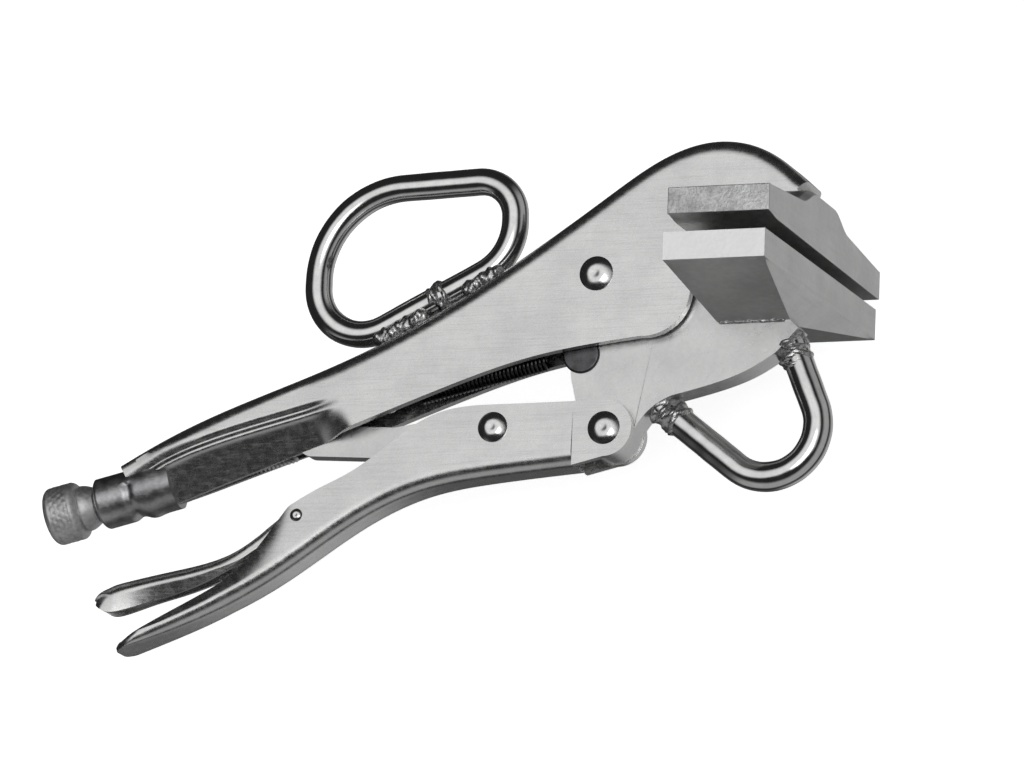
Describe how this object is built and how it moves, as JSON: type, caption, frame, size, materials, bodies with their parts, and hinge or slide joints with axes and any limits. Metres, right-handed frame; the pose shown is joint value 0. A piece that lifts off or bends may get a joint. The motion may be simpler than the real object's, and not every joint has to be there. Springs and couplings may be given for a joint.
{
  "type": "locking pliers",
  "caption": "Locking pliers with wide flat clamping bars, an adjusting screw, a release lever, a welded pull ring and a pull bail, lying on their side.",
  "frame": {"origin": "under the middle of the tool's box, on the surface the tool lies on", "axes": "+X out of the jaw mouth, +Y from the lower jaw to the upper jaw, +Z along the pivots, away from the surface"},
  "size_m": [0.2424, 0.1456, 0.108],
  "materials": {
    "pressed_steel": "nickel plated pressed sheet steel, satin flats and bright bends",
    "jaw_steel": "nickel plated steel plate with a fine mottled satin face",
    "bar_steel": "plated flat bar with a grained satin face",
    "round_rod": "bright plated round rod",
    "weld_metal": "plated weld bead, lumpy and bright",
    "rivet_steel": "bright plated rivet heads",
    "screw_steel": "grey plated knurled knob and screw",
    "spring_wire": "drawn spring wire"
  },
  "bodies": {
    "upper_body": {"upper_handle": "pressed_steel", "upper_jaw_bar": "bar_steel", "upper_jaw_welds": "weld_metal", "pull_ring": "round_rod", "pull_ring_welds": "weld_metal", "ring_butt_weld": "weld_metal", "jaw_pivot_rivet": "rivet_steel", "spring": "spring_wire"},
    "lower_jaw_body": {"lower_jaw": "jaw_steel", "lower_jaw_bar": "bar_steel", "lower_jaw_welds": "weld_metal", "jaw_bail": "round_rod", "bail_welds": "weld_metal"},
    "lower_handle_body": {"lower_handle": "pressed_steel", "handle_rivet": "rivet_steel", "link_rivet": "rivet_steel", "lever_rivet": "rivet_steel"},
    "toggle_body": {"toggle_link": "jaw_steel"},
    "lever_body": {"release_lever": "pressed_steel"},
    "screw_body": {"adjusting_screw": "screw_steel"},
    "knob_body": {"screw_knob": "screw_steel"}
  },
  "joints": [
    {"name": "jaw_opening", "type": "hinge", "parent": "upper_body", "child": "lower_jaw_body", "pos_m": [0.05078, 0.03398, 0.054], "axis": [0, 0, 1], "range_deg": [-7, 0], "deforming": ["spring"]},
    {"name": "handle_swing", "type": "hinge", "parent": "lower_jaw_body", "child": "lower_handle_body", "pos_m": [0.05408, -0.01162, 0.054], "axis": [0, 0, 1], "range_deg": [0, 38]},
    {"name": "link_fold", "type": "hinge", "parent": "lower_handle_body", "child": "toggle_body", "pos_m": [0.01998, -0.01022, 0.054], "axis": [0, 0, 1], "range_deg": [-50, 0]},
    {"name": "lever_press", "type": "hinge", "parent": "lower_handle_body", "child": "lever_body", "pos_m": [-0.03982, -0.03432, 0.054], "axis": [0, 0, 1], "range_deg": [0, 6], "stiffness_Nm_per_rad": 0.2},
    {"name": "knob_turn", "type": "hinge", "parent": "screw_body", "child": "knob_body", "pos_m": [-0.11222, -0.02932, 0.054], "axis": [-0.9724, -0.2334, 0], "range_deg": [0, 2304]},
    {"name": "screw_travel", "type": "slide", "parent": "upper_body", "child": "screw_body", "axis": [-0.9724, -0.2334, 0], "range_m": [0, 0.008]}
  ],
  "couplings": [
    {"joint": "jaw_opening", "follows": "handle_swing", "ratio": -0.18},
    {"joint": "link_fold", "follows": "handle_swing", "ratio": -1.305},
    {"joint": "knob_turn", "follows": "screw_travel", "rad_per_m": 5026.5}
  ]
}
